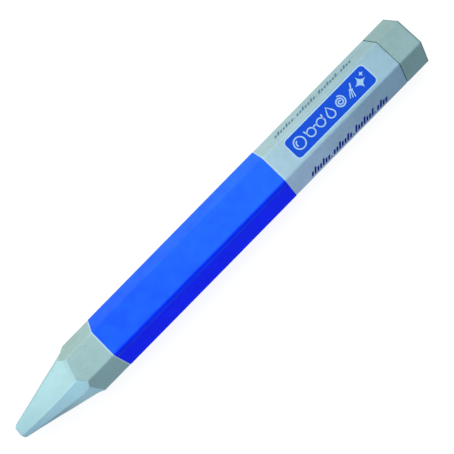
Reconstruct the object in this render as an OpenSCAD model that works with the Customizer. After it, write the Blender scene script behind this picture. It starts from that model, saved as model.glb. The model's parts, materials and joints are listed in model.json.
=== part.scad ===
// Lens cleaning pen, six-sided, lying along X on one of its flats.
// Nose of the cap at -X, brush mouth at +X, +Z up, millimetres.
// Origin: middle of the pen's length, on the surface it lies on.
// Lengths along the pen are stations, counted from the tip of the nose.

/* [Overall] */
// Length from the nose tip to the brush mouth
pen_length = 120.4; // [120:0.2:124.4]
// Width across the flats of the six-sided body
across_flats = 12; // [11.9:0.1:13]
// Rounding radius of the six long edges
edge_radius = 0.6; // [0.3:0.1:1]
// How far the cap, barrel and collar lie below the grip's flats
grip_proud = 0.05; // [0:0.01:0.1]

/* [Cap] */
// Length of the cap with its nose
cap_length = 27.7; // [27.2:0.1:28.2]
// Station where the nose's taper cuts the long edges
taper_start = 19.9; // [19.6:0.1:20.2]
// Radius of the nose near its blunt tip
nose_tip_radius = 2.05; // [1.9:0.05:2.2]
// How round the nose's facets are: 0 for flat ones, 1 for a round nose
facet_bulge = 0.15; // [0.1:0.05:0.4]

/* [Body] */
// Length of the coloured grip sleeve
grip_length = 51.6; // [49:0.1:52.1]
// Length of the collar around the brush mouth
collar_length = 6.6; // [6.2:0.1:7]
// Width of the gap that shows between barrel and collar
seam_gap = 0.25; // [0.15:0.05:0.4]

/* [Brush] */
// How far the brush slides out
brush_travel = 17; // [14:0.5:17]
// Free length of the bristles outside the ferrule
bristle_free_length = 13.4; // [11:0.2:14]
// Widest radius of the bristle bundle
bristle_radius = 2.35; // [2:0.05:2.6]
// Width of the slider button
button_width = 3; // [2.4:0.1:3]
// Height of the slider button above the barrel's flat
button_height = 0.85; // [0.5:0.05:0.9]

/* [Cleaning tip] */
// Radius of the carbon cleaning pad
pad_radius = 3; // [2.6:0.1:3]
// Depth of the hollow in the pad's face
pad_dish = 0.35; // [0.2:0.05:0.4]

/* [Hidden] */

round_fn = 64;      // smoothness of everything turned
axis_height = across_flats / 2;
shell_flats = across_flats - 2 * grip_proud;
push_gap = 0.02;    // radial gap of parts pressed together
run_gap = 0.06;     // radial gap of parts that slide or turn

// Stations along the pen
seat_gap = 0.03;    // from the cap's seat to the cap, and to the grip
sleeve_gap = 0.05;  // from the grip to the barrel
cap_end = cap_length - seat_gap;
grip_start = cap_length + seat_gap;
grip_end = cap_length + grip_length - sleeve_gap;
barrel_start = cap_length + grip_length;
barrel_end = pen_length - collar_length - seam_gap / 2;
collar_start = pen_length - collar_length + seam_gap / 2;

// Core tube that holds the grip, the spigot and the barrel in line
core_outer = 4.78;
core_inner = 4;
core_reach = 5.7;   // how far the tube reaches into the barrel
shoulder = 0.8;     // length of the spigot's shoulder in front of the tube
core_start = cap_length + shoulder;
core_end = barrel_start + core_reach;
bulkhead_thick = 3;

// Brush guide in the barrel, and the collar's tail that closes it
guide_outer = 4.28;
guide_inner = 3.6;
end_gap = 0.1;      // lengthwise gap between parts that meet end to end
guide_start = core_end + 4 * end_gap;
tail_length = 2.7;
tail_start = collar_start - tail_length;
tail_root = 0.5;     // how far the tail and the shoulder reach into the collar
guide_end = tail_start - end_gap;
mouth_radius = 2.9;
mouth_flare = 3.5;
collar_bevel = 0.2;  // of the collar's six end edges
seam_depth = 0.3;    // how far the collar's shoulder lies below the flats in the seam
mouth_bevel = 0.9;   // length of the flare inside the mouth

// Brush carriage and what it carries, retracted
longest_travel = 17; // room that the guide leaves in front of the carriage
carriage_length = 8;
carriage_radius = guide_inner - run_gap;
carriage_end = guide_end - end_gap - longest_travel;
carriage_start = carriage_end - carriage_length;
leg_length = 3;
leg_width = 1.8;
leg_start = carriage_start + 3;
button_length = 7;
slot_side = 330;    // angle of the flat that carries the slider
slot_width = leg_width + 0.2;
slot_floor = 3;     // radius where the slot's cutter begins, inside the guide's bore
button_gap = 0.1;   // button to barrel
leg_foot = 2.5;     // radius where the button's leg ends
ferrule_outer = 2.28;
ferrule_inner = 1.9;
ferrule_start = carriage_start + 3.6;
ferrule_end = carriage_end + 11;
bristle_tip = ferrule_end + bristle_free_length;
bristle_root = ferrule_start + 8; // inside the ferrule, on the resin
spring_thick = 0.2;
spring_width = 1.4;
spring_room = 0.4;  // how much wider its notches and its recess are
spring_recess = 0.55; // depth of the carriage's recess for it
spring_bump = 6;    // its bump, from the carriage's start

// Spigot that the cap sits on
spigot_radius = 4.6;
spigot_start = cap_length - 3.7;
spigot_end = cap_length + 12;
groove_station = cap_length - 1.9;
groove_width = 1.2;
groove_floor = 3.8;
ring_minor = 0.395;
ring_major = groove_floor + 0.03 + ring_minor;
stem_radius = 1.4;
boot_radius = 1.9;
boot_seat = spigot_start + 1.5;
stem_start = cap_length - 5.7;
stem_end = cap_length + 8.3;

// Cleaning tip, bending on its neck about one point
pad_front = cap_length - 11.7;
pad_thick = 0.5;
neck_station = pad_front + 4.7;
neck_radius = 1.0;
boot_front = neck_station + 0.25;

// Cap and what it holds
liner_inner = spigot_radius + run_gap;
liner_outer = 5.2;
cap_bore = liner_outer + push_gap;
nose_tail_end = cap_length - 5.7;
sponge_front = pad_front - 0.8;
sponge_radius = pad_radius + 0.05;
sponge_back = sponge_front - 2.9;
cup_wall = 0.3;
cup_inner = sponge_radius + push_gap;
cup_outer = cup_inner + cup_wall;
cup_back = sponge_back - 0.6;

// Nose: radius of its edges against distance from the tip
nose_profile = [[0, 1.4], [0.15, 1.68], [0.5, 1.9], [1.1, nose_tip_radius],
                [4, 2.7], [8.5, 3.73], [12, 4.62], [15, 5.29], [16, 5.53],
                [taper_start - 3, 5.75], [taper_start - 2.3, 5.93], [taper_start - 1.7, 6.1],
                [taper_start - 1.2, 6.27], [taper_start - 0.7, 6.48], [taper_start, 6.86],
                [taper_start + 0.8, 7.3]];
// Angles of its eight edges where it meets the body, and at the tip
nose_edges_base = [38, 103, 136, 180, 225, 270, 315, 360];
nose_edges_tip = [38, 123, 161, 205, 245, 285, 325, 367];
nose_sides = len(nose_edges_base);
facet_steps = 4;    // strips across each facet
facet_fade = 4;     // length over which the facets round out towards the body
rim_front = taper_start - 2.8; // where the cap shell's longest tongue may begin

// Outline of the cap shell's front rim on each flat:
// [angle of the flat, place of the tongue's point across it, its length]
tongues = [[30, 0.85, 2.35], [90, 1.38, 1.7], [150, -1.5, 0.95],
           [210, 1.6, 1.6], [270, 0, 1.6], [330, -1.6, 1.6]];

// A point of a circle
function polar(r, t) = [r * cos(t), r * sin(t)];

// Outline of a hexagon with rounded corners and flats at top and bottom
function hex_outline(flats, r, steps = 4) =
    let (corner = flats / sqrt(3) - r / cos(30))
    [for (c = [0:5], s = [0:steps])
        polar(corner, 60 * c) + polar(r, 60 * c - 30 + 60 * s / steps)];

// Puts a shape drawn in XY and raised along Z at a station along the pen
module at(station) {
    translate([station - pen_length / 2, 0, axis_height])
        rotate([90, 0, 90])
            children();
}

// Turns a shape drawn for the flat at 0 degrees to another flat
module on_side(angle) {
    rotate([0, 0, angle]) children();
}

module hex_bar(from, to, flats) {
    at(from)
        linear_extrude(to - from)
            polygon(hex_outline(flats, edge_radius));
}

module rod(from, to, r) {
    at(from) cylinder(h = to - from, r = r, $fn = round_fn);
}

module cone(from, to, r_from, r_to) {
    at(from) cylinder(h = to - from, r1 = r_from, r2 = r_to, $fn = round_fn);
}

// A solid turned about the pen's axis; points are [radius, station]
module turned(points) {
    at(0) rotate_extrude($fn = round_fn) polygon(points);
}

// A block on the flat at an angle, between two radii
module side_block(angle, from, to, r_from, r_to, width) {
    at(from)
        on_side(angle)
            translate([r_from, -width / 2, 0])
                cube([r_to - r_from, width, to - from]);
}

// ---- Body ----

module barrel_shell() {
    socket_end = core_end + 0.2;
    color([0.66, 0.79, 0.84])
        difference() {
            hex_bar(barrel_start, barrel_end, shell_flats);
            rod(barrel_start - 1, socket_end, core_outer + push_gap);
            rod(socket_end - 1, barrel_end + 1, guide_outer + push_gap);
            slider_slot();
        }
}

// The slot that the slider's leg runs in
module slider_slot() {
    side_block(slot_side, leg_start - end_gap, leg_start + leg_length + brush_travel + end_gap,
               slot_floor, across_flats, slot_width);
}

module grip_sleeve() {
    color([0.12, 0.4, 0.95])
        difference() {
            hex_bar(grip_start, grip_end, across_flats);
            rod(grip_start - 1, grip_end + 1, core_outer + push_gap);
        }
}

module core_tube() {
    color([0.75, 0.77, 0.78])
        difference() {
            rod(core_start, core_end, core_outer);
            rod(core_start - 1, core_end + 1, core_inner);
        }
}

module rear_bulkhead() {
    rim = 0.8;
    color([0.75, 0.77, 0.78])
        difference() {
            rod(core_end - bulkhead_thick, core_end, core_inner - push_gap);
            rod(core_end - bulkhead_thick - 1, core_end - bulkhead_thick / 2, core_inner - push_gap - rim);
        }
}

module brush_guide() {
    notch_length = 1.6;
    notch_depth = 0.3;
    notch_start = carriage_start + spring_bump - notch_length / 2;
    color([0.85, 0.86, 0.87])
        difference() {
            rod(guide_start, guide_end, guide_outer);
            rod(guide_start - 1, guide_end + 1, guide_inner);
            slider_slot();
            for (shift = [0, brush_travel])
                side_block(slot_side - 180, notch_start + shift, notch_start + shift + notch_length,
                           slot_floor, guide_inner + notch_depth, spring_width + spring_room);
        }
}

module end_collar() {
    color([0.58, 0.71, 0.70])
        difference() {
            union() {
                difference() {
                    hex_bar(collar_start, pen_length, shell_flats);
                    for (side = [30:60:330]) end_bevel(side);
                }
                hex_bar(barrel_end + push_gap, collar_start + tail_root, shell_flats - 2 * seam_depth);
                rod(tail_start, collar_start + tail_root, guide_outer);
            }
            rod(tail_start - 1, pen_length + 1, mouth_radius);
            cone(pen_length - mouth_bevel, pen_length + 0.01, mouth_radius, mouth_flare);
        }
}

// Cutter that bevels the collar's end edge on the flat at an angle
module end_bevel(angle) {
    at(pen_length - collar_bevel)
        on_side(angle)
            translate([shell_flats / 2, 0, 0])
                rotate([0, -45, 0])
                    translate([0, -across_flats / 2, -across_flats / 4])
                        cube([collar_bevel * 2, across_flats, across_flats / 2]);
}

// ---- Cleaning tip ----

module front_spigot() {
    lead_in = 0.4;
    color([0.8, 0.82, 0.83])
        difference() {
            union() {
                cone(spigot_start, spigot_start + lead_in, spigot_radius - lead_in, spigot_radius);
                rod(spigot_start + lead_in, cap_length, spigot_radius);
                rod(cap_length, core_start, core_outer);
                rod(core_start, spigot_end, core_inner - push_gap);
            }
            ring_groove();
            rod(spigot_start - 1, boot_seat, boot_radius + push_gap);
            rod(boot_seat - 0.5, spigot_end + 1, stem_radius + push_gap);
            rod(spigot_end - 3, spigot_end + 1, core_inner - 1);
        }
}

module ring_groove() {
    at(groove_station - groove_width / 2)
        difference() {
            cylinder(h = groove_width, r = spigot_radius + 1, $fn = round_fn);
            translate([0, 0, -1]) cylinder(h = groove_width + 2, r = groove_floor, $fn = round_fn);
        }
}

module seal_ring() {
    color([0.12, 0.12, 0.13])
        at(groove_station)
            rotate_extrude($fn = round_fn)
                translate([ring_major, 0]) circle(r = ring_minor, $fn = 32);
}

module tip_stem() {
    color([0.25, 0.26, 0.28])
        union() {
            cone(stem_start, stem_start + 0.4, stem_radius - 0.4, stem_radius);
            rod(stem_start + 0.4, stem_end, stem_radius);
        }
}

module neck_boot() {
    boot_neck = 1.45;
    boot_taper_end = boot_seat - 2.6;
    color([0.1, 0.1, 0.11])
        difference() {
            union() {
                cone(boot_front, boot_taper_end, boot_neck, boot_radius);
                rod(boot_taper_end, boot_seat, boot_radius);
            }
            at(neck_station) sphere(r = neck_radius + run_gap, $fn = round_fn);
            rod(stem_start - 0.05, boot_seat + 1, stem_radius + push_gap);
        }
}

module tip_head() {
    back = pad_front + pad_thick;
    color([0.1, 0.1, 0.11])
        union() {
            turned([[0, back], [pad_radius, back], [pad_radius, back + 0.7], [pad_radius - 0.35, back + 1.25],
                    [pad_radius - 0.9, back + 1.75], [pad_radius - 1.4, back + 2.4],
                    [neck_radius + 0.15, back + 3.1], [neck_radius, neck_station - 0.3],
                    [neck_radius, neck_station - 0.1], [0, neck_station - 0.1]]);
            at(neck_station) sphere(r = neck_radius, $fn = round_fn);
        }
}

// Disc whose front face is hollowed like a shallow saucer
module chamois_pad() {
    steps = 8;
    rim = 0.25;
    color([0.16, 0.16, 0.17])
        turned(concat([[0, pad_front + pad_thick], [pad_radius, pad_front + pad_thick],
                       [pad_radius, pad_front + 0.1], [pad_radius - 0.1, pad_front]],
                      [for (s = [0:steps])
                          let (r = (pad_radius - rim) * (1 - s / steps))
                          [r, pad_front + pad_dish * (1 - pow(r / (pad_radius - rim), 2))]]));
}

// ---- Cap ----

// Radius of a point on the nose between two edges: bulge 0 gives the chord, 1 the circle
function facet_radius(edge, half_angle, off, bulge) =
    let (chord = edge * cos(half_angle) / cos(off))
    chord + (edge - chord) * bulge;

// One section of the nose, from the angles of its edges
function nose_section(station, r, blend, bulge) =
    [for (e = [0:nose_sides - 1], s = [0:facet_steps - 1])
        let (edges = [for (k = [0:nose_sides - 1])
                         nose_edges_tip[k] * (1 - blend) + nose_edges_base[k] * blend],
             low = edges[e],
             high = e < nose_sides - 1 ? edges[e + 1] : edges[0] + 360,
             middle = (low + high) / 2,
             angle = low + (high - low) * s / facet_steps,
             p = polar(facet_radius(r, (high - low) / 2, angle - middle, bulge), angle))
        [p[0], p[1], station]];

// Roundness of the facets at a station: it swells smoothly as the nose meets the body
function roundness(station) =
    let (t = max(0, min(1, (station - taper_start) / facet_fade + 1)))
    facet_bulge + (1 - facet_bulge) * pow(t, 2.4);

// Sections from the tip back
function nose_points() =
    [for (row = nose_profile)
        each nose_section(row[0], row[1], min(1, row[0] / taper_start), roundness(row[0]))];

module nose_form() {
    count = nose_sides * facet_steps;
    rows = len(nose_profile);
    at(0)
        polyhedron(
            points = nose_points(),
            faces = concat(
                [[for (k = [0:count - 1]) k]],
                [for (row = [0:rows - 2], k = [0:count - 1])
                    let (next = (k + 1) % count, low = row * count, high = low + count)
                    each [[low + k, high + k, high + next], [low + k, high + next, low + next]]],
                [[for (k = [count - 1:-1:0]) (rows - 1) * count + k]]),
            convexity = 4);
}

// What lies in front of the cap shell's rim: one cutter for each flat
module rim_cutters() {
    front = rim_front - 0.5;
    half = across_flats / sqrt(3) / 2 + 0.05;
    for (tongue = tongues)
        at(0)
            on_side(tongue[0])
                rotate([90, 0, 90])
                    translate([0, 0, cap_bore - 1])
                        linear_extrude(across_flats)
                            polygon([[-half, front], [half, front], [half, taper_start],
                                     [tongue[1], taper_start - tongue[2]], [-half, taper_start]]);
}

module shell_ring() {
    difference() {
        hex_bar(rim_front, cap_end, shell_flats);
        rod(rim_front - 1, cap_end + 1, cap_bore);
        rim_cutters();
    }
}

module cap_shell() {
    color([0.64, 0.77, 0.76])
        intersection() {
            shell_ring();
            union() {
                nose_form();
                hex_bar(taper_start, cap_end, across_flats);
            }
        }
}

module cap_nose() {
    color([0.70, 0.87, 0.90])
        difference() {
            union() {
                intersection() {
                    nose_form();
                    hex_bar(-1, taper_start, shell_flats);
                }
                rod(rim_front, nose_tail_end, liner_outer);
            }
            shell_ring();
            nose_hollow();
        }
}

// Space inside the nose for the tip, the sponge's cup and the mould's core
module nose_hollow() {
    cup_bore = cup_outer + push_gap;
    tip_room = 4.1;
    tail_bore = spigot_radius + 0.12;
    turned([[0, 4], [1, 4], [2.6, cup_back - 0.05], [cup_bore, cup_back - 0.05],
            [cup_bore, sponge_front - 0.4], [tip_room, sponge_front],
            [tip_room, pad_front + 1.4], [tail_bore, taper_start + 0.3],
            [tail_bore, nose_tail_end + 1], [0, nose_tail_end + 1]]);
}

module cap_liner() {
    color([0.82, 0.84, 0.85])
        difference() {
            rod(nose_tail_end + 0.1, cap_end - 0.2, liner_outer);
            rod(nose_tail_end - 1, cap_end + 1, liner_inner);
            cone(cap_end - 0.5, cap_end - 0.19, liner_inner, liner_inner + 0.3);
        }
}

module sponge_cup() {
    color([0.3, 0.31, 0.33])
        difference() {
            rod(cup_back, sponge_front - 0.5, cup_outer);
            rod(sponge_back - 0.02, sponge_front + 1, cup_inner);
        }
}

module carbon_sponge() {
    steps = 6;
    crown = 0.25;
    color([0.18, 0.18, 0.19])
        turned(concat([[0, sponge_back], [sponge_radius, sponge_back]],
                      [for (s = [0:steps])
                          let (r = sponge_radius * (1 - s / steps))
                          [r, sponge_front - crown * (1 - pow(r / sponge_radius, 2))]]));
}

// ---- Brush ----

module brush_carriage() {
    color([0.22, 0.23, 0.25])
        difference() {
            rod(carriage_start, carriage_end, carriage_radius);
            rod(ferrule_start - 0.1, carriage_end + 1, ferrule_outer + push_gap);
            rod(carriage_start - 1, ferrule_start - 1.2, ferrule_outer);
            side_block(slot_side, leg_start - push_gap, leg_start + leg_length + push_gap,
                       leg_foot, across_flats, leg_width + 2 * push_gap);
            side_block(slot_side - 180, carriage_start + 0.8, carriage_end + 1,
                       carriage_radius - spring_recess, across_flats, spring_width + spring_room);
        }
}

module slider_button() {
    foot = axis_height + button_gap - grip_proud;
    top = foot + button_height - button_gap;
    groove = 0.5;
    groove_depth = 0.25;
    groove_pitch = 1.1;
    middle = leg_start + leg_length / 2;
    color([0.12, 0.4, 0.95])
        difference() {
            union() {
                side_block(slot_side, middle - button_length / 2, middle + button_length / 2,
                           foot, top, button_width);
                side_block(slot_side, leg_start, leg_start + leg_length, leg_foot, foot + 0.1, leg_width);
            }
            for (k = [-2:2])
                side_block(slot_side, middle + k * groove_pitch - groove / 2,
                           middle + k * groove_pitch + groove / 2,
                           top - groove_depth, top + 1, button_width + 1);
        }
}

// Leaf that holds the brush at either end, drawn pressed flat as it is while sliding
module detent_spring() {
    leaf_foot = carriage_radius - spring_recess + push_gap;
    bump_radius = 0.6;
    color([0.75, 0.74, 0.7])
        union() {
            side_block(slot_side - 180, carriage_start + 1, carriage_end - 0.3,
                       leaf_foot, leaf_foot + spring_thick, spring_width);
            intersection() {
                at(carriage_start + spring_bump)
                    on_side(slot_side - 180)
                        translate([carriage_radius - bump_radius - 0.1, spring_width / 2, 0])
                            rotate([90, 0, 0])
                                cylinder(h = spring_width, r = bump_radius, $fn = 32);
                side_block(slot_side - 180, carriage_start + 1, carriage_end - 0.3,
                           leaf_foot + spring_thick / 2, carriage_radius, spring_width);
            }
        }
}

module brush_ferrule() {
    crimp = 0.12;
    color([0.8, 0.8, 0.78])
        difference() {
            turned([[0, ferrule_start], [ferrule_outer, ferrule_start], [ferrule_outer, ferrule_end - 5],
                    [ferrule_outer - crimp, ferrule_end - 4.7], [ferrule_outer - crimp, ferrule_end - 4.3],
                    [ferrule_outer, ferrule_end - 4], [ferrule_outer, ferrule_end - 3.2],
                    [ferrule_outer - crimp, ferrule_end - 2.9], [ferrule_outer - crimp, ferrule_end - 2.5],
                    [ferrule_outer, ferrule_end - 2.2], [ferrule_outer, ferrule_end - 0.2],
                    [ferrule_outer - 0.15, ferrule_end], [0, ferrule_end]]);
            rod(ferrule_start - 1, ferrule_end + 1, ferrule_inner);
        }
}

module knot_plug() {
    color([0.7, 0.6, 0.4])
        rod(ferrule_start + 0.2, bristle_root - 0.05, ferrule_inner - push_gap);
}

module brush_bristles() {
    tip_steps = 8;
    shoulder = bristle_tip - 3.2;
    color([0.2, 0.17, 0.14])
        turned(concat([[0, bristle_root], [ferrule_inner - push_gap, bristle_root],
                       [ferrule_inner - push_gap, ferrule_end + 0.2]],
                      [for (s = [0:tip_steps])
                          [bristle_radius * cos(90 * s / tip_steps),
                           shoulder + (bristle_tip - shoulder) * sin(90 * s / tip_steps)]]));
}

barrel_shell();
grip_sleeve();
core_tube();
rear_bulkhead();
brush_guide();
end_collar();
front_spigot();
tip_stem();
neck_boot();
tip_head();
chamois_pad();
seal_ring();
cap_shell();
cap_nose();
cap_liner();
sponge_cup();
carbon_sponge();
brush_carriage();
slider_button();
detent_spring();
brush_ferrule();
knot_plug();
brush_bristles();
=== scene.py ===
"""Lens cleaning pen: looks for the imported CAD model, in metres, in the CAD frame."""

import json
import math
import random

import bmesh
import bpy
from mathutils import Matrix, Vector


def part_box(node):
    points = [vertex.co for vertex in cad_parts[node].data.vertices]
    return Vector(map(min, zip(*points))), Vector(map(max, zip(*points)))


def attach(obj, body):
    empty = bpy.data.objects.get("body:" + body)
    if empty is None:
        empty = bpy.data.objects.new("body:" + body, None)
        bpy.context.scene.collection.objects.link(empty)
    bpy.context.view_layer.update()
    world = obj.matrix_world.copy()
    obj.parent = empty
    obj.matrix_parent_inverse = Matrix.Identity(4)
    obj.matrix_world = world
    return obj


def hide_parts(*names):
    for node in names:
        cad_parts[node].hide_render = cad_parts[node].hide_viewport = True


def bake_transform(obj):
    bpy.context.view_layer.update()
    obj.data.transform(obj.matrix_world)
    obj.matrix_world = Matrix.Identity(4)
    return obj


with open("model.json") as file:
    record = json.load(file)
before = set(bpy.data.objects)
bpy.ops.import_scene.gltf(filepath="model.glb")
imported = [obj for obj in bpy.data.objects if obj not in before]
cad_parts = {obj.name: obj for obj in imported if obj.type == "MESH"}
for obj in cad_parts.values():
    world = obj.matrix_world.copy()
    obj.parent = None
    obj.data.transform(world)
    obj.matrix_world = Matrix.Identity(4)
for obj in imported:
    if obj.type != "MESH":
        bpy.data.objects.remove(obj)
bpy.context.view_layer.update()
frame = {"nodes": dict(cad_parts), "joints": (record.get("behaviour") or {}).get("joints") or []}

MM = 0.001
NODES = frame["nodes"]
AXIS_HEIGHT = 6 * MM  # height of the pen's axis above the floor
AXIS = Vector((0, 0, AXIS_HEIGHT))
FAR_FLAT, TOP_FLAT, NEAR_FLAT = 30, 90, 150  # where the upper flats look, in degrees from +Y about the axis
SIDE_EDGE, FAR_EDGE, NEAR_EDGE = 0, 60, 120  # the far flat's lower edge, and those beside the top flat
BLACK, WHITE = (0.0, 0.0, 0.0, 1.0), (1.0, 1.0, 1.0, 1.0)


def station(node, end):
    """x of a node's nose-side end (0) or mouth-side end (1)."""
    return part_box(node)[end].x


def span(node):
    """x of both ends of a node."""
    return station(node, 0), station(node, 1)


def radius_of(node):
    """Half the height of a round node."""
    return (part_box(node)[1].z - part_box(node)[0].z) / 2


def about_axis(x, radius, angle):
    """The point at x, radius away from the axis, at that angle in radians from +Y."""
    return Vector((x, radius * math.cos(angle), AXIS_HEIGHT + radius * math.sin(angle)))


# ---------------------------------------------------------------- materials


def srgb(red, green, blue):
    """A colour of the picture as linear values."""
    parts = [c / 255 for c in (red, green, blue)]
    return tuple(c / 12.92 if c <= 0.04045 else ((c + 0.055) / 1.055) ** 2.4 for c in parts) + (1.0,)


def scaled(colour, gain):
    """A colour times a gain, at most 1 in each channel."""
    return tuple(min(1.0, c * gain) for c in colour[:3]) + (1.0,)


class Shader:
    """A node material under construction. Its methods add nodes and return their output."""

    def __init__(self, name):
        self.material = bpy.data.materials.new(name)
        self.material.use_nodes = True
        self.tree = self.material.node_tree
        self.bsdf = self.tree.nodes["Principled BSDF"]
        self.place = self.put("ShaderNodeTexCoord").outputs["Object"]

    def put(self, kind, inputs=(), **settings):
        """A new node of that kind, with values or links for its inputs."""
        node = self.tree.nodes.new(kind)
        for key, value in settings.items():
            setattr(node, key, value)
        for key, value in dict(inputs).items():
            self.feed(node.inputs[key], value)
        return node

    def feed(self, socket, value):
        if isinstance(value, bpy.types.NodeSocket):
            self.tree.links.new(value, socket)
        elif value is not None:
            socket.default_value = value

    def math(self, operation, first, second=None):
        return self.put("ShaderNodeMath", {0: first, 1: second}, operation=operation).outputs[0]

    def times(self, first, second):
        return self.math("MULTIPLY", first, second)

    def millimetres(self, stretch=(1, 1, 1)):
        """Object coordinates in millimetres, stretched so that features lengthen along an axis."""
        scale = tuple(1000 / s for s in stretch)
        inputs = {0: self.place, 1: scale}
        return self.put("ShaderNodeVectorMath", inputs, operation="MULTIPLY").outputs[0]

    def noise(self, size, detail=3.0, roughness=0.55, stretch=(1, 1, 1)):
        """Noise whose blotches are about size millimetres across, from 0 to 1."""
        inputs = {
            "Vector": self.millimetres(stretch),
            "Scale": 1 / size,
            "Detail": detail,
            "Roughness": roughness,
        }
        return self.put("ShaderNodeTexNoise", inputs).outputs["Fac"]

    def cells(self, size):
        """Distance from the middles of cells that are about size millimetres across."""
        inputs = {"Vector": self.millimetres(), "Scale": 1 / size}
        return self.put("ShaderNodeTexVoronoi", inputs).outputs["Distance"]

    def remap(self, value, low, high, to_low=0.0, to_high=1.0):
        """Runs smoothly from to_low where value is low to to_high where it is high."""
        inputs = {"Value": value, 1: low, 2: high, 3: to_low, 4: to_high}
        node = self.put("ShaderNodeMapRange", inputs, interpolation_type="SMOOTHSTEP")
        return node.outputs["Result"]

    def mix(self, factor, first, second, blend="MIX"):
        node = self.put("ShaderNodeMix", data_type="RGBA", blend_type=blend)
        self.feed(node.inputs[0], factor)
        self.feed(node.inputs[6], first)
        self.feed(node.inputs[7], second)
        return node.outputs[2]

    def axis_parts(self):
        """(x, y, height above the axis) in millimetres."""
        split = self.put("ShaderNodeSeparateXYZ", {0: self.millimetres()}).outputs
        height = self.math("SUBTRACT", split[2], AXIS_HEIGHT / MM)
        return split[0], split[1], height

    def turn(self):
        """Angle about the axis in degrees, from -90 to 270: 0 faces +Y, 90 faces up, 180 faces -Y."""
        _, across, height = self.axis_parts()
        angle = self.times(self.math("ARCTAN2", height, across), 180 / math.pi)
        turned = self.math("FLOORED_MODULO", self.math("ADD", angle, 90), 360)
        return self.math("SUBTRACT", turned, 90)

    def lengthwise(self):
        """How far a face looks along the pen: 1 towards the mouth, 0 to the side, -1 towards the nose."""
        normal = self.put("ShaderNodeNewGeometry").outputs["True Normal"]
        return self.put("ShaderNodeSeparateXYZ", {0: normal}).outputs[0]

    def side_mask(self):
        """1 on faces that look sideways, 0 on the end faces."""
        return self.remap(self.math("ABSOLUTE", self.lengthwise()), 0.5, 0.8, 1.0, 0.0)

    def edge_mask(self, reach):
        """1 on the six long edges of the body, falling to 0 reach degrees away, seen from the axis."""
        sector = self.math("FLOORED_MODULO", self.math("ADD", self.turn(), 390), 60)
        from_edge = self.math("ABSOLUTE", self.math("SUBTRACT", sector, 30))
        return self.remap(from_edge, 0.0, reach, 1.0, 0.0)

    def outer_mask(self, low=5.6, high=5.8):
        """0 inside the body and 1 on its outside; low and high are distances from the axis to a flat."""
        _, across, height = self.axis_parts()
        reach = None
        for side in (FAR_FLAT, TOP_FLAT, NEAR_FLAT):
            angle = math.radians(side)
            first = self.times(across, math.cos(angle))
            second = self.times(height, math.sin(angle))
            distance = self.math("ABSOLUTE", self.math("ADD", first, second))
            reach = self.math("MAXIMUM", reach, distance) if reach else distance
        return self.remap(reach, low, high)

    def end_mask(self, low, high, reach):
        """1 at a part's two ends, falling to 0 reach millimetres inside."""
        along, _, _ = self.axis_parts()
        from_low = self.math("SUBTRACT", along, low / MM)
        from_high = self.math("SUBTRACT", high / MM, along)
        return self.remap(self.math("MINIMUM", from_low, from_high), 0.0, reach, 1.0, 0.0)

    def bump(self, height, depth, below=None):
        """Relief of that depth in millimetres, on top of another one."""
        inputs = {"Height": height, "Distance": depth * MM, "Strength": 1.0, "Normal": below}
        return self.put("ShaderNodeBump", inputs).outputs["Normal"]

    def finish(self, colour, roughness, normal, **fixed):
        """Feeds the three varying inputs, and sets what is the same all over on the shader itself."""
        self.feed(self.bsdf.inputs["Base Color"], colour)
        self.feed(self.bsdf.inputs["Roughness"], roughness)
        self.feed(self.bsdf.inputs["Normal"], normal)
        for key, value in fixed.items():
            self.bsdf.inputs[key.replace("_", " ")].default_value = value
        return self.material


def plastic(name, colour, roughness=0.42, mottle=0.05, span=None, wear=0.0, tone=None, **fixed):
    """Moulded plastic: cloudy colour, fine grain, small specks, scuffs along the pen, and paler, smoother
    edges where wear is over 0, at the part's ends too where span gives them."""
    s = Shader(name)
    base = tone(s, colour) if tone else colour
    cloud = s.remap(s.noise(6.0, 4.0, 0.6), 0.3, 0.7, 1 - mottle, 1 + mottle)
    base = s.mix(1.0, base, cloud, "MULTIPLY")
    fleck = s.remap(s.noise(0.35, 5.0, 0.7), 0.25, 0.5, 0.35, 0.0)
    base = s.mix(fleck, base, (0.8, 0.8, 0.82, 1.0), "MULTIPLY")
    blotch = s.remap(s.noise(1.3, 3.0, 0.6), 0.35, 0.65, 1 - 0.5 * mottle, 1 + 0.5 * mottle)
    base = s.mix(1.0, base, blotch, "MULTIPLY")
    specks = s.remap(s.cells(3.4), 0.045, 0.08, 0.4, 0.0)
    base = s.mix(specks, base, (0.45, 0.47, 0.5, 1.0), "MULTIPLY")
    scuffs = s.remap(s.noise(0.16, 2.0, 0.6, stretch=(14, 1, 1)), 0.66, 0.74)
    scuffs = s.times(scuffs, s.remap(s.noise(7.0, 2.0), 0.5, 0.62))
    worn = s.edge_mask(2.5)
    if span:
        worn = s.math("MAXIMUM", worn, s.end_mask(span[0], span[1], 0.3))
    worn = s.times(worn, s.remap(s.noise(1.1, 4.0), 0.35, 0.7, 0.2, 1.0))
    worn = s.times(worn, wear)
    paler = tuple(0.6 * c + 0.4 * max(colour[:3]) for c in colour[:3]) + (1.0,)
    base = s.mix(worn, base, paler)
    base = s.mix(s.times(scuffs, 0.16), base, paler)
    shine = s.remap(s.noise(2.4, 3.0), 0.3, 0.7, roughness - 0.05, roughness + 0.06)
    shine = s.math("SUBTRACT", shine, s.times(worn, 0.3))
    shine = s.math("ADD", shine, s.times(scuffs, 0.15))
    waves = s.bump(s.noise(2.2, 2.0), 0.012)
    normal = s.bump(s.noise(0.09, 3.0, 0.65), 0.004, below=waves)
    normal = s.bump(scuffs, -0.004, below=normal)
    return s.finish(base, shine, normal, IOR=1.49, **fixed)


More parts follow.
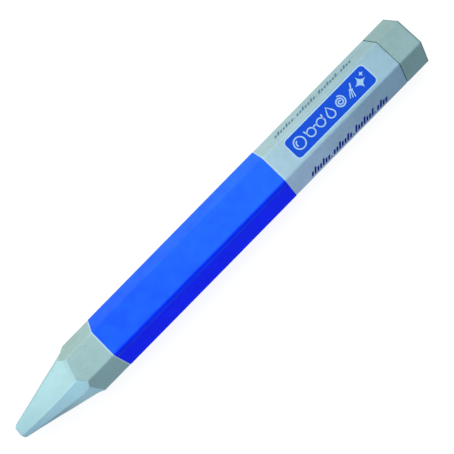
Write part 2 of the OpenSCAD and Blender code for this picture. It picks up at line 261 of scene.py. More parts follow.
def ink(name, colour, pale, **fixed):
    """Pad-printed ink: a thin, slightly uneven film with pinholes."""
    s = Shader(name)
    film = s.remap(s.noise(0.5, 4.0, 0.7), 0.3, 0.75)
    base = s.mix(film, scaled(colour, 0.86), colour)
    pinholes = s.remap(s.cells(0.42), 0.06, 0.1, 0.5, 0.0)
    base = s.mix(pinholes, base, pale)
    shine = s.remap(s.noise(0.8, 3.0), 0.3, 0.7, 0.32, 0.46)
    return s.finish(base, shine, s.bump(s.noise(0.12, 3.0), 0.004), IOR=1.5, **fixed)


def rubber(name):
    """Soft moulded rubber: dusty bloom over near-black, fine pebbling."""
    s = Shader(name)
    dust = s.remap(s.noise(1.2, 5.0, 0.65), 0.45, 0.75)
    base = s.mix(s.times(dust, 0.25), (0.006, 0.006, 0.007, 1.0), (0.035, 0.035, 0.037, 1.0))
    shine = s.remap(s.noise(0.6, 4.0), 0.3, 0.7, 0.55, 0.75)
    pebbles = s.bump(s.cells(0.14), 0.008)
    normal = s.bump(s.noise(0.9, 3.0), 0.01, below=pebbles)
    return s.finish(base, shine, normal, IOR=1.5, Specular_IOR_Level=0.35, Sheen_Weight=0.03)


def chamois(name):
    """Fine napped leather with a carbon coating rubbed into it."""
    s = Shader(name)
    nap = s.noise(0.07, 5.0, 0.75)
    rub = s.remap(s.noise(0.9, 4.0, 0.6), 0.35, 0.7)
    base = s.mix(s.remap(nap, 0.3, 0.75), (0.004, 0.004, 0.005, 1.0), (0.028, 0.027, 0.026, 1.0))
    base = s.mix(s.times(rub, 0.4), base, (0.014, 0.014, 0.015, 1.0))
    normal = s.bump(nap, 0.03)
    shine = s.remap(nap, 0.3, 0.7, 0.78, 0.95)
    return s.finish(base, shine, normal, Specular_IOR_Level=0.25, Sheen_Weight=0.08, Sheen_Roughness=0.5)


def foam(name):
    """Open-cell foam full of carbon powder."""
    s = Shader(name)
    pores = s.cells(0.28)
    ribs = s.remap(pores, 0.15, 0.6)
    base = s.mix(ribs, (0.006, 0.006, 0.007, 1.0), (0.035, 0.035, 0.037, 1.0))
    base = s.mix(s.remap(s.noise(0.7, 4.0), 0.5, 0.8, 0.0, 0.4), base, (0.06, 0.06, 0.063, 1.0))
    return s.finish(base, s.remap(pores, 0.1, 0.6, 0.95, 0.8), s.bump(ribs, 0.09), Sheen_Weight=0.05)


def metal(name, colour, roughness, stretch=(1, 22, 22)):
    """Drawn metal with fine marks that run round it, or along it where stretch says so."""
    s = Shader(name)
    marks = s.noise(0.05, 4.0, 0.6, stretch=stretch)
    tarnish = s.remap(s.noise(1.5, 4.0), 0.4, 0.75)
    base = s.mix(s.times(tarnish, 0.35), colour, scaled(colour, 0.6))
    base = s.mix(s.remap(marks, 0.35, 0.65, 0.25, 0.0), base, scaled(colour, 0.7))
    shine = s.remap(marks, 0.3, 0.7, roughness - 0.08, roughness + 0.1)
    return s.finish(base, shine, s.bump(marks, 0.002), Metallic=1.0, Anisotropic=0.5)


def resin(name):
    """Cloudy amber resin, set with a wavy surface."""
    s = Shader(name)
    base = s.mix(s.noise(0.8, 4.0), (0.28, 0.18, 0.07, 1.0), (0.42, 0.3, 0.13, 1.0))
    return s.finish(base, s.remap(s.noise(0.5), 0.3, 0.7, 0.15, 0.3), s.bump(s.noise(0.6), 0.02), IOR=1.55)


def hair(name):
    """Soft natural hair, darker at the root, with streaks from hair to hair."""
    s = Shader(name)
    streak = s.noise(0.1, 3.0, 0.6, stretch=(40, 1, 1))
    along, _, _ = s.axis_parts()
    tip = s.remap(along, station("brush_ferrule", 1) / MM, station("brush_bristles", 1) / MM)
    base = s.mix(s.remap(streak, 0.3, 0.7), (0.05, 0.032, 0.02, 1.0), (0.16, 0.105, 0.065, 1.0))
    base = s.mix(s.times(tip, 0.5), base, (0.26, 0.19, 0.13, 1.0))
    return s.finish(base, s.remap(streak, 0.3, 0.7, 0.35, 0.5), s.bump(streak, 0.004), IOR=1.55)


def paint_side_light(s, base, far, near):
    """Painted light and shade by side: tints the flats that face +Y by one factor and those that face -Y by
    another.
    """
    angle = s.turn()
    sides = s.side_mask()
    on_far = s.remap(angle, FAR_EDGE - 12, FAR_EDGE + 16, 1.0, 0.0)
    base = s.mix(s.times(sides, on_far), base, far, "MULTIPLY")
    on_near = s.remap(angle, NEAR_EDGE - 1, NEAR_EDGE + 1)
    return s.mix(s.times(sides, on_near), base, near, "MULTIPLY")


def nose_tone(s, base):
    """The nose is a little darker towards its tip. Painted light makes the near facets below the upper one,
    whose edges turn with the taper, brighter and bluer, and painted shade darkens the lowest of them towards
    the tip."""
    along, _, _ = s.axis_parts()
    low = station("cap_nose", 0) / MM
    base = s.mix(s.remap(along, low, low + 16, 0.5, 0.0), base, (0.72, 0.78, 0.86, 1.0), "MULTIPLY")
    twist = s.remap(along, low, low + NOSE_LENGTH, NOSE_TWIST, 0.0)
    angle = s.math("SUBTRACT", s.turn(), twist)
    # painted light: the facets below the upper one are brighter and bluer
    painted_light_facets = s.remap(angle, UPPER_FACET_EDGE - 2, UPPER_FACET_EDGE + 2)
    base = s.mix(painted_light_facets, base, (1.06, 1.13, 1.24, 1.0), "MULTIPLY")
    # painted shade on the lowest facet towards the tip
    on_lowest = s.remap(angle, LOWEST_FACET_EDGE - 2, LOWEST_FACET_EDGE + 3)
    shade = s.times(on_lowest, s.remap(along, low + 9, low + 16, 0.36, 0.0))
    return s.mix(shade, base, BLACK, "MULTIPLY")


def barrel_tone(s, base):
    """The barrel darkens a little towards the collar, carries painted light and shade on its side flats, and
    its rim beside the sleeve is pale.
    """
    along, _, _ = s.axis_parts()
    low, high = (x / MM for x in span("barrel_shell"))
    base = s.mix(s.remap(along, low, high, 0.0, 0.9), base, (0.8, 0.86, 0.88, 1.0), "MULTIPLY")
    # painted light and shade: the near flat brighter and bluer towards the sleeve, the far flat warmer
    near = s.mix(s.remap(along, low, high), (1.2, 1.14, 1.33, 1.0), (0.88, 0.91, 1.05, 1.0))
    base = paint_side_light(s, base, (1.06, 1.0, 0.86, 1.0), near)
    rim = s.times(s.remap(along, low + 0.22, low + 0.34, 0.9, 0.0), s.outer_mask())
    return s.mix(rim, base, PALE_RIM)


def collar_tone(s, base):
    """The collar carries painted light and shade on its side flats, and painted shade at its end: a darker
    band on the rim, darkest on the bevels.
    """
    along, _, _ = s.axis_parts()
    high = station("end_collar", 1) / MM
    # painted light and shade on the side flats
    base = paint_side_light(s, base, (1.04, 1.02, 0.97, 1.0), (0.8, 0.92, 0.93, 1.0))
    # painted shade: a darker band along the end's rim, and darker still on its bevels
    rim = s.times(s.side_mask(), s.remap(along, high - 0.5, high - 0.3, 0.0, 0.8))
    base = s.mix(rim, base, (0.56, 0.61, 0.62, 1.0), "MULTIPLY")
    facing = s.lengthwise()
    bevel = s.times(s.remap(facing, 0.1, 0.35), s.remap(facing, 0.85, 0.98, 0.75, 0.0))
    bevel = s.times(bevel, s.outer_mask(4.5, 5))
    return s.mix(bevel, base, (0.4, 0.44, 0.46, 1.0), "MULTIPLY")


def cap_tone(s, base):
    """The cap carries painted light and shade on its side flats, and its rim beside the sleeve is pale."""
    along, _, _ = s.axis_parts()
    high = station("cap_shell", 1) / MM
    # painted light and shade on the side flats
    base = paint_side_light(s, base, (1.06, 1.01, 0.93, 1.0), (0.9, 0.97, 1.01, 1.0))
    rim = s.times(s.remap(along, high - 0.34, high - 0.22, 0.0, 0.9), s.outer_mask())
    return s.mix(rim, base, PALE_RIM)


def grip_tone(s, base):
    """Painted light: the sleeve's top and far flats are a lighter blue for the way the light falls on them,
    the rest keeps the deep blue; it is deeper towards the nose, in clouds, with pale specks.
    """
    along, _, _ = s.axis_parts()
    low, high = (x / MM for x in span("grip_sleeve"))
    angle = s.turn()
    past_side = s.remap(angle, SIDE_EDGE - 2, SIDE_EDGE + 2)
    before_near = s.remap(angle, NEAR_EDGE - 5, NEAR_EDGE + 3, 1.0, 0.0)
    # painted light: the lighter blue on the top and far flats
    painted_lit_flats = s.times(s.times(past_side, before_near), s.side_mask())
    base = s.mix(painted_lit_flats, base, GRIP_LIT_BLUE)
    cloud = s.remap(s.noise(5.0, 5.0, 0.65), 0.4, 0.7, 0.0, 0.4)
    depth = s.math("ADD", s.remap(along, low, high, 0.45, 0.0), cloud)
    base = s.mix(depth, base, (0.6, 0.6, 0.97, 1.0), "MULTIPLY")
    pale = s.remap(s.cells(2.9), 0.04, 0.08, 0.35, 0.0)
    return s.mix(pale, base, (0.03, 0.2, 0.9, 1.0))


def seam_tone(s, base):
    """Painted highlight: the lap's lip is a lighter blue, for the light that catches its edge."""
    return s.mix(s.remap(s.turn(), *LIP_START), base, (0.02, 0.1, 0.95, 1.0))


# Colours as they look on a top face, brought down by how brightly the light draws one
LIGHT = 1.43
NOSE = scaled(srgb(187, 228, 230), 1 / LIGHT)
CAP = scaled(srgb(164, 198, 197), 1 / LIGHT)
COLLAR = scaled(srgb(150, 182, 182), 1 / LIGHT)
BARREL = scaled(srgb(171, 205, 219), 1 / LIGHT)
TEAL = scaled(srgb(92, 134, 160), 1 / LIGHT)
PALE_RIM = scaled(srgb(196, 232, 253), 1 / LIGHT)
PALE_INK = scaled(srgb(176, 216, 252), 1 / LIGHT)

# Linear colours, set so that the render matches the picture, or chosen for what the picture doesn't show
GRIP = (0.0, 0.016, 1.0, 1.0)
# painted light: the lighter blue that the sleeve's top and far flats get for how the light falls; the button
# and the panel's pinholes use it too
GRIP_LIT_BLUE = (0.014, 0.122, 0.78, 1.0)
SEAM = (0.0, 0.028, 0.8, 1.0)
PANEL = (0.004, 0.066, 0.54, 1.0)
NAVY = (0.0, 0.001, 0.24, 1.0)
INNER = (0.5, 0.52, 0.53, 1.0)
DARK = (0.03, 0.032, 0.036, 1.0)

NOSE_LENGTH, NOSE_TWIST = 19.9, 20  # over this length in millimetres, the nose's edges turn by these degrees
UPPER_FACET_EDGE, LOWEST_FACET_EDGE = 103, 136  # where they meet the body, in degrees about the axis
LIP_START = (129.3, 129.9)  # where the lap's lip begins, in degrees about the axis


def repaint(node, material):
    """Gives every material slot of a CAD node one material."""
    for place in NODES[node].material_slots:
        place.material = material


def paint_nodes():
    repaint("cap_nose", plastic("nose_satin", NOSE, 0.34, 0.03, tone=nose_tone))
    repaint("cap_shell", plastic("cap_satin", CAP, span=span("cap_shell"), tone=cap_tone, wear=0.03))
    repaint("end_collar", plastic("collar_satin", COLLAR, tone=collar_tone, wear=0.03))
    barrel = plastic("barrel_satin", BARREL, span=span("barrel_shell"), tone=barrel_tone, wear=0.03)
    repaint("barrel_shell", barrel)
    grip = plastic("grip_satin", GRIP, 0.4, tone=grip_tone, Specular_IOR_Level=0.04)
    repaint("grip_sleeve", grip)
    repaint("slider_button", plastic("button_satin", GRIP_LIT_BLUE, 0.4))
    inner = plastic("inner_white", INNER, 0.5, 0.03)
    for node in ("core_tube", "rear_bulkhead", "brush_guide", "front_spigot", "cap_liner"):
        repaint(node, inner)
    dark = plastic("dark_grey", DARK, 0.45, 0.1)
    for node in ("tip_stem", "sponge_cup", "brush_carriage"):
        repaint(node, dark)
    repaint("seal_ring", rubber("ring_rubber"))
    repaint("detent_spring", metal("spring_strip", (0.6, 0.58, 0.54, 1.0), 0.3, stretch=(22, 1, 1)))
    repaint("brush_ferrule", metal("ferrule_drawn", (0.75, 0.75, 0.76, 1.0), 0.28))
    repaint("knot_plug", resin("knot_resin"))


# ------------------------------------------------------------ CAD node edges

SHARP_ANGLE = 28  # an edge that turns by more degrees than this is rounded
EDGE_WIDTHS = {  # in millimetres
    "barrel_shell": 0.07,
    "grip_sleeve": 0.08,
    "end_collar": 0.1,
    "cap_shell": 0.05,
    "cap_nose": 0.12,
    "slider_button": 0.08,
    "front_spigot": 0.05,
    "cap_liner": 0.04,
    "brush_carriage": 0.06,
    "brush_ferrule": 0.03,
}


def smooth(o):
    for face in o.data.polygons:
        face.use_smooth = True


def soften(o, width):
    """Joins a CAD node's split faces and rounds its sharp edges by width millimetres, all in modifiers."""
    smooth(o)
    weld = o.modifiers.new("weld", "WELD")
    weld.merge_threshold = 0.001 * MM
    bevel = o.modifiers.new("bevel", "BEVEL")
    bevel.width = width * MM
    bevel.segments = 3
    bevel.limit_method = "ANGLE"
    bevel.angle_limit = math.radians(SHARP_ANGLE)
    bevel.harden_normals = False
    normals = o.modifiers.new("normals", "WEIGHTED_NORMAL")
    normals.keep_sharp = True


# ------------------------------------------------------------- mesh building


def link(name, mesh, material, body):
    """Makes the mesh a piece of the pen, attached to that body; body is None where the piece crosses a
    joint, and then it stays unattached.
    """
    o = bpy.data.objects.new(name, mesh)
    bpy.context.scene.collection.objects.link(o)
    mesh.materials.append(material)
    if body:
        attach(o, body)
    return o


def solid_outline(bm, outline, low, high):
    """A flat piece with that closed outline, from height low to high."""
    count = len(outline)
    bottom = [bm.verts.new((x, y, low)) for x, y in outline]
    top = [bm.verts.new((x, y, high)) for x, y in outline]
    bm.faces.new(top)
    bm.faces.new(bottom[::-1])
    for k in range(count):
        after = (k + 1) % count
        bm.faces.new((bottom[k], bottom[after], top[after], top[k]))


def rounded_rectangle(cx, cy, width, height, radius, steps=8):
    """Outline of a rectangle whose corners are arcs of that radius."""
    points = []
    for corner, (sx, sy) in enumerate(((1, 1), (-1, 1), (-1, -1), (1, -1))):
        for k in range(steps + 1):
            angle = math.radians(90 * corner + 90 * k / steps)
            x = cx + sx * (width / 2 - radius) + radius * math.cos(angle)
            y = cy + sy * (height / 2 - radius) + radius * math.sin(angle)
            points.append((x, y))
    return points


def arc(cx, cy, radius, start=0, turn=360, steps=32, growth=0.0):
    """Points of an arc, of a spiral that grows by growth, or of a whole circle without its last point."""
    count = steps if turn == 360 else steps + 1
    points = []
    for k in range(count):
        angle = math.radians(start + turn * k / steps)
        reach = radius + growth * k / steps
        points.append((cx + reach * math.cos(angle), cy + reach * math.sin(angle)))
    return points


def stroke(bm, points, width, low, high, closed=False):
    """A line of even width along (x, y) points, from height low to high."""
    count = len(points)
    rows = []
    for k, (x, y) in enumerate(points):
        before = points[k - 1] if closed or k > 0 else points[k]
        after = points[(k + 1) % count] if closed or k < count - 1 else points[k]
        way = Vector((after[0] - before[0], after[1] - before[1])).normalized() * width / 2
        sides = ((x + way.y, y - way.x), (x - way.y, y + way.x))
        rows.append([bm.verts.new((px, py, z)) for px, py in sides for z in (low, high)])
    for k in range(count if closed else count - 1):
        a, b = rows[k], rows[(k + 1) % count]
        for i, j in ((1, 3), (3, 2), (2, 0), (0, 1)):
            bm.faces.new((a[i], a[j], b[j], b[i]))
    if not closed:
        for row in (rows[0], rows[-1]):
            bm.faces.new((row[0], row[1], row[3], row[2]))


def star(cx, cy, reach, waist):
    """Outline of a four-pointed sparkle with curved-in sides."""
    points, steps = 4, 5
    outline = []
    for k in range(points):
        tip = math.radians(360 * k / points + 90)
        mid = tip + math.pi / points
        after = tip + 2 * math.pi / points
        a = Vector((math.cos(tip), math.sin(tip))) * reach
        b = Vector((math.cos(mid), math.sin(mid))) * waist
        c = Vector((math.cos(after), math.sin(after))) * reach
        for step in range(steps):
            t = step / steps
            p = a * (1 - t) ** 2 + b * 2 * t * (1 - t) + c * t * t
            outline.append((cx + p.x, cy + p.y))
    return outline


def on_flat(bm, angle, lift):
    """Turns a drawing in (x, y) onto the flat whose outward normal is at that angle from +Y about the axis.
    x stays along the pen, y runs round it, and z rises from the flat."""
    bmesh.ops.recalc_face_normals(bm, faces=bm.faces)
    turn = Matrix.Rotation(math.radians(angle - TOP_FLAT), 4, "X")
    up = Matrix.Translation((0, 0, lift))
    bm.transform(Matrix.Translation(AXIS) @ turn @ up)


def mesh_of(bm, name):
    """Turns a finished BMesh into a mesh."""
    mesh = bpy.data.meshes.new(name)
    bm.to_mesh(mesh)
    bm.free()
    return mesh


# --------------------------------------------------------------------- print

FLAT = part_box("barrel_shell")[1].z - AXIS_HEIGHT  # distance of the barrel's flats from the axis
PANEL_START = station("barrel_shell", 0) + 5.4 * MM
PANEL_END = PANEL_START + 23.5 * MM
PANEL_HEIGHT = 4.95 * MM
FILM = 0.012 * MM  # thickness of a layer of ink


# The signs of the panel, each drawn about x on its middle line, in millimetres from its start


def lens_sign(draw, x):
    draw(arc(x, 0, 1.35), closed=True)
    draw(arc(x, 0, 0.75, 100, 110, 12))


def spectacles_sign(draw, x):
    for side in (-1, 1):
        draw(arc(x + 1.45 * side, -0.15, 0.95), closed=True)
        draw([(x + 2.38 * side, 0.1), (x + 2.6 * side, 1.15)])
    draw(arc(x, -0.1, 0.5, 20, 140, 10))


def drop_sign(draw, x):
    draw([(x, 1.4), *arc(x, -0.45, 0.9, 150, 240, 20)], closed=True)


def wipe_sign(draw, x):
    draw(arc(x, 0, 0.2, turn=800, steps=48, growth=1.15))


def brush_sign(draw, x):
    draw([(x + 0.95, 1.4), (x + 0.2, 0.3)])
    draw([(x + 0.22, 0.33), (x - 0.02, 0.0)], width=0.85)
    for spread in (-0.42, 0.0, 0.42):
        root = (x - 0.02 + spread * 0.6, -spread * 0.45)
        draw([root, (x - 0.75 + spread * 1.3, -1.35 - spread * 0.6)], width=0.22)


# Each sign with its x
SIGNS = ((lens_sign, 2.5), (spectacles_sign, 7.3), (drop_sign, 11.6), (wipe_sign, 14.7), (brush_sign, 18.0))


def lay_print(bm, name, material, angle=TOP_FLAT):
    """Lays a drawing on one of the barrel's flats."""
    on_flat(bm, angle, FLAT)
    link(name, mesh_of(bm, name), material, "barrel")


def print_panel():
    """Blue panel with a pale keyline, and pale pictograms for lens, glasses, drop, wipe, brush and shine."""
    middle = (PANEL_START + PANEL_END) / 2
    width = PANEL_END - PANEL_START
    line = 0.24 * MM
    pale = ink("ink_keyline", PALE_RIM, BARREL)
    blue = ink("ink_panel", PANEL, GRIP_LIT_BLUE, Specular_IOR_Level=0.1)
    marks = ink("ink_pale", PALE_INK, PANEL)

    bm = bmesh.new()
    outline = rounded_rectangle(middle, 0, width + 2 * line, PANEL_HEIGHT + 2 * line, 1.1 * MM)
    solid_outline(bm, outline, -FILM, FILM * 0.6)
    lay_print(bm, "print_keyline", pale)

    bm = bmesh.new()
    solid_outline(bm, rounded_rectangle(middle, 0, width, PANEL_HEIGHT, 0.9 * MM), -FILM, FILM * 1.4)
    lay_print(bm, "print_panel", blue)

    bm = bmesh.new()
    low, high = FILM, FILM * 2.2

    def draw(points, width=0.3, closed=False):
        """Points and width in millimetres from the panel's start and middle line."""
        metres = [(PANEL_START + x * MM, y * MM) for x, y in points]
        stroke(bm, metres, width * MM, low, high, closed)

    for sign, place in SIGNS:
        sign(draw, place)
    solid_outline(bm, star(PANEL_END - 2.9 * MM, -0.1 * MM, 1.5 * MM, 0.26 * MM), low, high)
    solid_outline(bm, star(PANEL_END - 1.5 * MM, 1.1 * MM, 0.65 * MM, 0.12 * MM), low, high)
    lay_print(bm, "print_signs", marks)


def print_hatching(name, angle, centre, height, material):
    """A row of bold slanted strokes in two heights, with a dot in every eighth place."""
    bm = bmesh.new()
    length = PANEL_END + 0.2 * MM - PANEL_START
    pitch = 0.84 * MM
    slant = 0.4 * height
    half = 0.28 * MM  # of a stroke's width
    low = centre - height / 2
    for k in range(round(length / pitch)):
        x = PANEL_START + pitch * k
        if k % 8 == 7:
            dot = rounded_rectangle(x, low + 0.2 * MM, 0.36 * MM, 0.36 * MM, 0.16 * MM, 4)
            solid_outline(bm, dot, 0, FILM)
            continue
        top = low + height * (1.0 if k % 3 == 1 else 0.66)
        lean = slant * (top - low) / height
        corners = [(x - half, low), (x + half, low), (x + half + lean, top), (x - half + lean, top)]
        solid_outline(bm, corners, 0, FILM)
    lay_print(bm, name, material, angle=angle)


def print_marks():
    print_panel()
    navy = ink("ink_navy", NAVY, BARREL, Specular_IOR_Level=0.1)
    rubbed = ink("ink_rubbed", TEAL, BARREL, Specular_IOR_Level=0.1)
    print_hatching("print_hatching_far", FAR_FLAT, 0.0, 1.7 * MM, rubbed)
    print_hatching("print_hatching_near", NEAR_FLAT, -1.7 * MM, 1.9 * MM, navy)


# --------------------------------------------------------------- grip's seam


def grip_seam():
    """The lap of the sleeve's wrap: it rises gently from the near upper edge and ends in a small step."""
    low, high = span("grip_sleeve")
    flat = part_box("grip_sleeve")[1].z - AXIS_HEIGHT
    # millimetres across the flat from its middle, and above it
    lap = [(2.95, -0.01), (2.5, 0.05), (2.3, 0.085), (2.18, 0.085), (2.12, 0.06), (2.08, -0.01)]
    inset = 0.1 * MM
    bm = bmesh.new()
    rows = [[bm.verts.new((x, y * MM, z * MM)) for y, z in lap] for x in (low + inset, high - inset)]
    for k in range(len(lap)):
        after = (k + 1) % len(lap)
        bm.faces.new((rows[0][k], rows[1][k], rows[1][after], rows[0][after]))
    for row in rows:
        bm.faces.new(row)
    on_flat(bm, NEAR_FLAT, flat)
    material = plastic("seam_satin", SEAM, 0.4, tone=seam_tone, Specular_IOR_Level=0.04)
    o = link("grip_seam", mesh_of(bm, "grip_seam"), material, "barrel")
    smooth(o)


# --------------------------------------------------------------------- brush


def hair_tuft(count, seed):
    """Separate tapered hairs that leave the ferrule together, swell and close to a soft rounded tip."""
    rng = random.Random(seed)
    root = station("brush_ferrule", 1) - 2.5 * MM
    shoulder = station("brush_bristles", 1)
    spread = radius_of("brush_bristles")
    neck = 1.8 * MM  # radius of the bundle in the ferrule
    sections, sides = 6, 3  # of each hair
    bm = bmesh.new()
    for _ in range(count):
        share = math.sqrt(rng.random())
        angle = rng.uniform(0, math.tau)
        drift = rng.uniform(-0.25, 0.25)
        length = (shoulder - root) * (1 - 0.16 * share ** 3) * rng.uniform(0.93, 1.0)
        thick = rng.uniform(0.035, 0.055) * MM
        rings = []
        for k in range(sections + 1):
            t = k / sections
            swell = neck + (spread - neck) * math.sin(min(1.0, t * 1.35) * math.pi / 2)
            close = 1 - 0.35 * max(0.0, (t - 0.72) / 0.28) ** 2 * share
            r = share * swell * close - thick
            turn = angle + drift * t
            centre = about_axis(root + length * t, max(r, 0), turn)
            width = thick * (1 - 0.75 * t ** 3)
            ring = []
            for side in range(sides):
                a = turn + math.tau * side / sides
                ring.append(bm.verts.new(centre + Vector((0, width * math.cos(a), width * math.sin(a)))))
            rings.append(ring)
        for low, high in zip(rings, rings[1:]):
            for k in range(sides):
                after = (k + 1) % sides
                bm.faces.new((low[k], high[k], high[after], low[after]))
        bm.faces.new(rings[0])
        bm.faces.new(rings[-1][::-1])
    bmesh.ops.recalc_face_normals(bm, faces=bm.faces)
    return mesh_of(bm, "brush_hair")


def brush():
    o = link("brush_hair", hair_tuft(count=620, seed=7), hair("natural_hair"), "brush")
    smooth(o)
    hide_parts("brush_bristles")


# -------------------------------------------------------------- cleaning tip


def turned(name, profile, steps=64):
    """A surface of revolution about the pen's axis from (radius, x) points; radius 0 closes it."""
    bm = bmesh.new()
    rings = []
    for radius, x in profile:
        if radius < 1e-7:
            rings.append([bm.verts.new((x, 0, AXIS_HEIGHT))])
            continue
        angles = [math.tau * k / steps for k in range(steps)]
        rings.append([bm.verts.new(about_axis(x, radius, a)) for a in angles])
    for a, b in zip(rings, rings[1:]):
        for k in range(steps):
            after = (k + 1) % steps
            if len(a) == 1:
                bm.faces.new((a[0], b[after], b[k]))
            elif len(b) == 1:
                bm.faces.new((a[k], a[after], b[0]))
            else:
                bm.faces.new((a[k], a[after], b[after], b[k]))
    bmesh.ops.recalc_face_normals(bm, faces=bm.faces)
    return mesh_of(bm, name)


def between(a, b, c, d, t):
    """Value at share t of the way from b to c on a Catmull-Rom curve through all four."""
    value = 2 * b + (c - a) * t
    value += (2 * a - 5 * b + 4 * c - d) * t * t
    value += (3 * b - a - 3 * c + d) * t ** 3
    return 0.5 * value


def curve_through(points, steps):
    """A smooth line through (radius, x) points, with that many steps from each to the next."""
    ends = [points[0], *points, points[-1]]
    line = []
    for p0, p1, p2, p3 in zip(ends, ends[1:], ends[2:], ends[3:]):
        for k in range(steps):
            line.append(tuple(between(*values, k / steps) for values in zip(p0, p1, p2, p3)))
    return line + [points[-1]]


def tip_rubber():
    """The tip's rubber moulding in one piece: boot, waist and trumpet-shaped head."""
    face = station("chamois_pad", 1)
    root = station("neck_boot", 1)
    bend = [j for j in frame["joints"] if j["name"] == "tip_flex"][0]["pos_m"][0]
    knots = (  # a station, then a radius and how far past the station it lies, in millimetres
        (face, 2.94, 0.02),
        (face, 2.97, 0.35),
        (face, 2.9, 0.75),
        (face, 2.5, 1.25),
        (face, 1.9, 1.9),
        (face, 1.4, 2.7),
        (face, 1.12, 3.5),
        (bend, 1.02, -0.05),
        (bend, 1.1, 0.5),
        (bend, 1.5, 1.1),
        (bend, 1.82, 1.9),
        (root, 1.88, -1.6),
        (root, 1.88, -0.05),
    )
    outline = curve_through([(radius * MM, place + past * MM) for place, radius, past in knots], 5)
    profile = [(0, outline[0][1]), (2.7 * MM, outline[0][1]), *outline, (1.45 * MM, root - 0.05 * MM)]
    profile += [(1.45 * MM, root - 0.4 * MM), (0, root - 0.4 * MM)]
    o = link("tip_rubber", turned("tip_rubber", profile), rubber("tip_rubber"), None)
    smooth(o)
    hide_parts("neck_boot", "tip_head")
    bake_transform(o)


def chamois_disc():
    """Dished pad with a rolled rim, fine nap in its surface."""
    low, high = span("chamois_pad")
    radius = radius_of("chamois_pad")
    dish = 0.33 * MM  # depth of the hollow in the middle
    rim = 0.22 * MM
    profile = [(0, high), (radius - 0.06 * MM, high), (radius, high - 0.06 * MM), (radius, low + rim)]
    for k in range(1, 9):
        angle = math.pi * k / 8
        profile.append((radius - rim / 2 * (1 - math.cos(angle)), low + rim - rim * math.sin(angle)))
    inner = radius - rim
    dished = [(inner * (1 - k / 14), low + 0.02 * MM + dish * (1 - (1 - k / 14) ** 2)) for k in range(1, 15)]
    rng = random.Random(3)
    mesh = turned("chamois_disc", profile[:-1] + [(inner, low + 0.04 * MM)] + dished, 72)
    for vertex in mesh.vertices:
        if vertex.co.x < low + dish + 0.1 * MM:
            vertex.co.x += rng.uniform(0.0, 0.012) * MM
    o = link("chamois_disc", mesh, chamois("carbon_chamois"), "tip")
    smooth(o)
    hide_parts("chamois_pad")


def carbon_puck():
    """Crowned puck of foam with a pitted surface."""
    low, high = span("carbon_sponge")
    radius = radius_of("carbon_sponge") - 0.02 * MM
    crown = 0.25 * MM
    profile = [(0, low + 0.02 * MM)] + [(radius * k / 10, low + 0.02 * MM) for k in range(1, 10)]
    profile += [(radius, low + 0.1 * MM + (high - crown - low - 0.15 * MM) * k / 14) for k in range(15)]
    for k in range(1, 21):
        share = 1 - k / 20
        inset = 0.05 * MM if k == 1 else 0
        profile.append((radius * share - inset, high - 0.03 * MM - crown * share ** 2))
    mesh = turned("carbon_puck", profile, 90)
    rng = random.Random(11)
    for vertex in mesh.vertices:
        pit = rng.uniform(0, 0.07) * MM
        radial = Vector((0, vertex.co.y, vertex.co.z - AXIS.z))
        if vertex.co.x > high - crown - 0.1 * MM:
            vertex.co.x -= pit
        elif radial.length > radius * 0.9:
            vertex.co -= radial.normalized() * pit
    o = link("carbon_puck", mesh, foam("carbon_foam"), "cap")
    smooth(o)
    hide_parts("carbon_sponge")


# ---------------------------------------------------------- camera and light

VIEW_TILT = math.radians(7)  # the camera leans this far from straight above, towards -Y
VIEW_ROLL = math.radians(45.52)  # slope of the pen in the picture
VIEW_DISTANCE = 178.6 * MM
VIEW_TARGET = Vector((3.5, -0.75, 5.9)) * MM
FIELD_OF_VIEW = math.radians(31.1)
LIGHT_DISTANCE = 0.9  # from the pen's middle, in metres
STAGE_REACH = 4.0  # radius of the backdrop and half the floor's side, in metres


def camera():
    across = Vector((0, -math.cos(VIEW_TILT), -math.sin(VIEW_TILT)))
    towards = Vector((0, -math.sin(VIEW_TILT), math.cos(VIEW_TILT)))
    along = Vector((1, 0, 0))
    right = math.cos(VIEW_ROLL) * along + math.sin(VIEW_ROLL) * across
    up = math.sin(VIEW_ROLL) * along - math.cos(VIEW_ROLL) * across
    place = VIEW_TARGET + VIEW_DISTANCE * towards
    data = bpy.data.cameras.new("camera")
    data.sensor_width = 36
    data.angle = FIELD_OF_VIEW
    data.clip_start = 0.005
    data.clip_end = 20
    o = bpy.data.objects.new("camera", data)
    bpy.context.scene.collection.objects.link(o)
    o.matrix_world = Matrix([[*row] for row in zip(right, up, towards, place)] + [[0, 0, 0, 1]])
    bpy.context.scene.camera = o


def area_light(name, direction, size, power, colour):
    """A square light that shines on the pen from that direction."""
    data = bpy.data.lights.new(name, "AREA")
    data.shape = "SQUARE"
    data.size = size
    data.energy = power
    data.color = colour
    o = bpy.data.objects.new(name, data)
    bpy.context.scene.collection.objects.link(o)
    way = Vector(direction).normalized()
    o.location = AXIS + way * LIGHT_DISTANCE
    o.rotation_euler = way.to_track_quat("Z", "Y").to_euler()
    return o


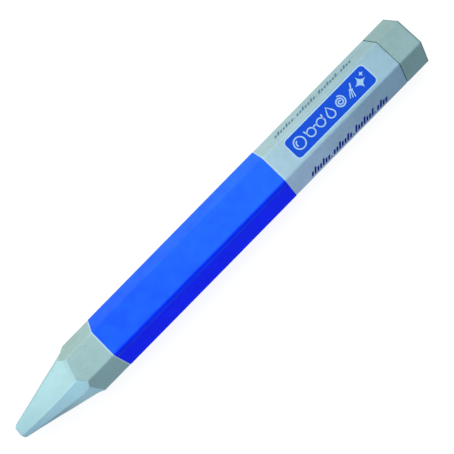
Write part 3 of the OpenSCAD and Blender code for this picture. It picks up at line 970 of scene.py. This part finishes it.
def stage_piece(name, bm, tone, glow):
    """A matt surface: tone is what it reflects, and glow is its own light, which makes it look white."""
    s = Shader(name)
    cloud = s.remap(s.noise(60.0, 3.0), 0.3, 0.7)
    base = s.mix(cloud, scaled(WHITE, tone * 0.98), scaled(WHITE, tone))
    s.finish(base, 0.8, s.bump(s.noise(0.4, 3.0), 0.01), Emission_Strength=glow)
    s.bsdf.inputs["Emission Color"].default_value = WHITE
    mesh = mesh_of(bm, name)
    mesh.materials.append(s.material)
    o = bpy.data.objects.new(name, mesh)
    bpy.context.scene.collection.objects.link(o)
    return o


def floor():
    """The white surface that the pen lies on."""
    bm = bmesh.new()
    bmesh.ops.create_grid(bm, x_segments=1, y_segments=1, size=STAGE_REACH)
    o = stage_piece("floor", bm, tone=0.12, glow=0.9)
    o.visible_glossy = False


def backdrop():
    """A pale dome behind everything, seen directly but lighting nothing."""
    bm = bmesh.new()
    bmesh.ops.create_uvsphere(bm, u_segments=48, v_segments=24, radius=STAGE_REACH)
    o = stage_piece("backdrop", bm, tone=0.0, glow=1.05)
    o.visible_diffuse = False
    o.visible_glossy = False
    o.visible_shadow = False


def studio():
    """Cool light from all round, a soft key from above and the far side, and a light for highlights."""
    world = bpy.data.worlds.new("studio")
    bpy.context.scene.world = world
    world.use_nodes = True
    background = world.node_tree.nodes["Background"]
    background.inputs["Color"].default_value = (0.8, 0.97, 1.15, 1.0)
    background.inputs["Strength"].default_value = 0.45
    key = area_light("key_light", (0.0, 0.454, 0.891), size=0.8, power=10.0, colour=(1.0, 1.0, 0.97))
    key.visible_glossy = False
    sheen = area_light("sheen_light", (-0.25, 0.75, 0.6), size=0.8, power=1.5, colour=(1.0, 1.0, 1.0))
    sheen.visible_diffuse = False
    bpy.context.scene.view_settings.view_transform = "Standard"


# --------------------------------------------------------------------- build

camera()
studio()
floor()
backdrop()
paint_nodes()
for node, width in EDGE_WIDTHS.items():
    soften(NODES[node], width)
print_marks()
grip_seam()
brush()
tip_rubber()
chamois_disc()
carbon_puck()
